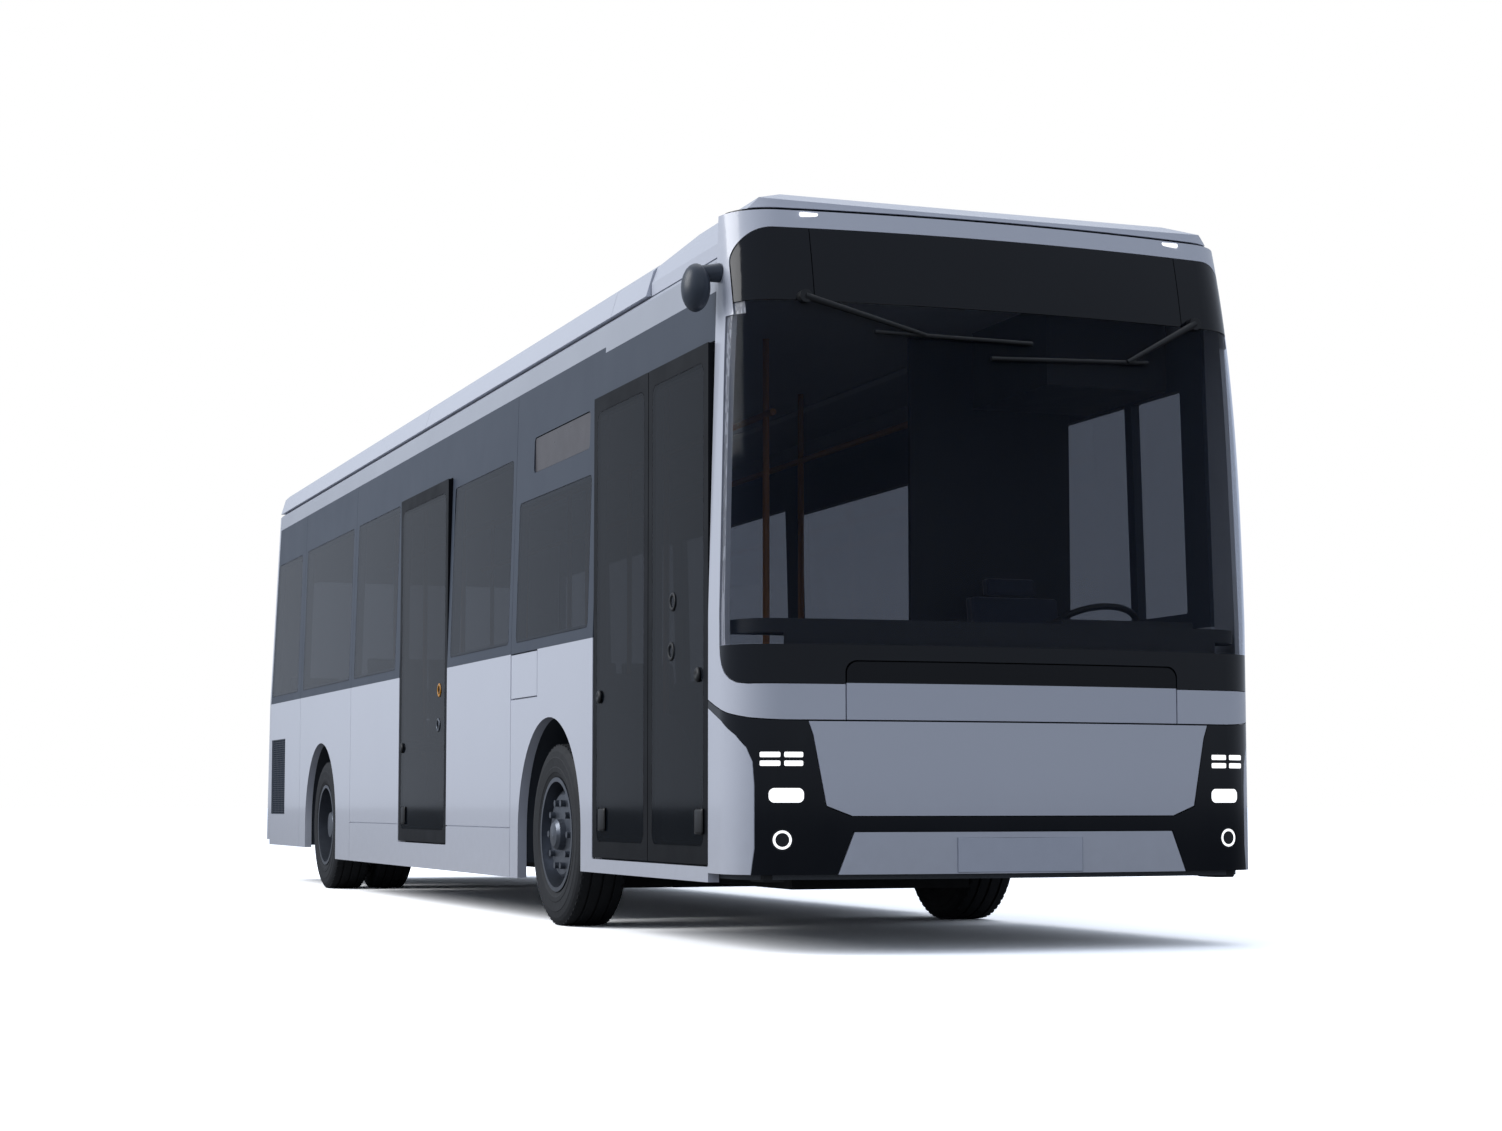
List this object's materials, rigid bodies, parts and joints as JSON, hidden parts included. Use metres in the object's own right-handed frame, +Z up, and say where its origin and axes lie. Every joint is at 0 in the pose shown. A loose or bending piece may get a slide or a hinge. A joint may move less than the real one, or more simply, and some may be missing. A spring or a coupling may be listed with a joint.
{
  "type": "electric city bus",
  "caption": "Low-entry electric city bus with a double-leaf front door, a wide middle door, steered front wheels and twin rear wheels.",
  "frame": {"origin": "on the ground, under the middle of the overall box", "axes": "+X forward, +Y to the bus's left, +Z up"},
  "size_m": [11.55, 2.7592, 3.305],
  "materials": {
    "paint": "pale lavender-grey gloss paint",
    "slate": "slate grey glazed band",
    "dark": "gloss near-black",
    "black_trim": "dark satin",
    "glass": "grey tinted",
    "lamp": "clear lamp covers",
    "rubber": "black",
    "rim": "grey painted wheel",
    "steel": "black chassis paint",
    "interior": "dark grey",
    "seat": "dark blue-grey cloth",
    "rail": "orange-yellow powder coat",
    "floor": "grey floor covering",
    "roof": "pale grey"
  },
  "bodies": {
    "body": {"windscreen": "glass", "front_black_panels": "dark", "front_mask": "paint", "front_panels": "paint", "lamp_trim": "dark", "lamps": "lamp", "front_bulkhead": "steel", "roof_front_cowl": "paint", "side_panels": "paint", "window_bands": "slate", "window_panes": "glass", "rear_wall": "paint", "roof_panel": "roof", "roof_fairings": "paint", "roof_equipment": "roof", "camera_arms": "black_trim", "wipers": "black_trim", "floor": "floor", "wheel_housings": "steel", "chassis_frame": "steel", "front_axle": "steel", "rear_axle": "steel", "dashboard": "interior", "driver_seat": "seat", "driver_partition": "interior", "passenger_seats": "seat", "handrails": "rail"},
    "front_hatch": {"front_hatch": "paint"},
    "rear_door": {"rear_door": "paint"},
    "charging_flap": {"charging_flap": "paint"},
    "front_door_fore": {"front_door_fore_frame": "black_trim", "front_door_fore_pane": "glass"},
    "front_door_aft": {"front_door_aft_frame": "black_trim", "front_door_aft_pane": "glass"},
    "mid_door": {"mid_door_frame": "black_trim", "mid_door_pane": "glass"},
    "steering_wheel": {"steering_wheel": "black_trim"},
    "knuckle_left": {"knuckle_left": "steel"},
    "front_wheel_left": {"front_rim_left": "rim", "front_tyre_left": "rubber"},
    "rear_wheel_left": {"rear_rim_left": "rim", "rear_tyres_left": "rubber"},
    "knuckle_right": {"knuckle_right": "steel"},
    "front_wheel_right": {"front_rim_right": "rim", "front_tyre_right": "rubber"},
    "rear_wheel_right": {"rear_rim_right": "rim", "rear_tyres_right": "rubber"}
  },
  "joints": [
    {"name": "steer_left", "type": "hinge", "parent": "body", "child": "knuckle_left", "pos_m": [2.84, 0.98, 0.467], "axis": [0, 0, 1], "range_deg": [-38, 38]},
    {"name": "front_wheel_spin_left", "type": "hinge", "parent": "knuckle_left", "child": "front_wheel_left", "pos_m": [2.84, 1.0775, 0.467], "axis": [0, 1, 0], "continuous": true},
    {"name": "rear_wheel_spin_left", "type": "hinge", "parent": "body", "child": "rear_wheel_left", "pos_m": [-3.335, 0.9175, 0.467], "axis": [0, 1, 0], "continuous": true},
    {"name": "steer_right", "type": "hinge", "parent": "body", "child": "knuckle_right", "pos_m": [2.84, -0.98, 0.467], "axis": [0, 0, 1], "range_deg": [-38, 38]},
    {"name": "front_wheel_spin_right", "type": "hinge", "parent": "knuckle_right", "child": "front_wheel_right", "pos_m": [2.84, -1.0775, 0.467], "axis": [0, 1, 0], "continuous": true},
    {"name": "rear_wheel_spin_right", "type": "hinge", "parent": "body", "child": "rear_wheel_right", "pos_m": [-3.335, -0.9175, 0.467], "axis": [0, 1, 0], "continuous": true},
    {"name": "steering_wheel_turn", "type": "hinge", "parent": "body", "child": "steering_wheel", "pos_m": [5.115, 0.68, 1.4046], "axis": [-0.5, 0, 0.866], "range_deg": [-532, 532]},
    {"name": "front_hatch_hinge", "type": "hinge", "parent": "body", "child": "front_hatch", "pos_m": [5.777, 0, 1.221], "axis": [0, -1, 0], "range_deg": [0, 75]},
    {"name": "rear_door_hinge", "type": "hinge", "parent": "body", "child": "rear_door", "pos_m": [-5.74763, 0.774, 0.43], "axis": [-0.0633, 0, -0.998], "range_deg": [0, 95]},
    {"name": "charging_flap_hinge", "type": "hinge", "parent": "body", "child": "charging_flap", "pos_m": [2.101, -1.2435, 1.31], "axis": [0, 0, -1], "range_deg": [0, 95]},
    {"name": "front_door_fore_hinge", "type": "hinge", "parent": "body", "child": "front_door_fore", "pos_m": [5.309, -1.242, 1.4], "axis": [0, 0, 1], "range_deg": [0, 90]},
    {"name": "front_door_aft_hinge", "type": "hinge", "parent": "body", "child": "front_door_aft", "pos_m": [3.636, -1.242, 1.4], "axis": [0, 0, -1], "range_deg": [0, 90]},
    {"name": "mid_door_hinge", "type": "hinge", "parent": "body", "child": "mid_door", "pos_m": [0.599, -1.242, 1.4], "axis": [0, 0, 1], "range_deg": [0, 90]}
  ],
  "couplings": [
    {"joint": "steer_right", "follows": "steer_left", "ratio": 1},
    {"joint": "steering_wheel_turn", "follows": "steer_left", "ratio": 14}
  ]
}
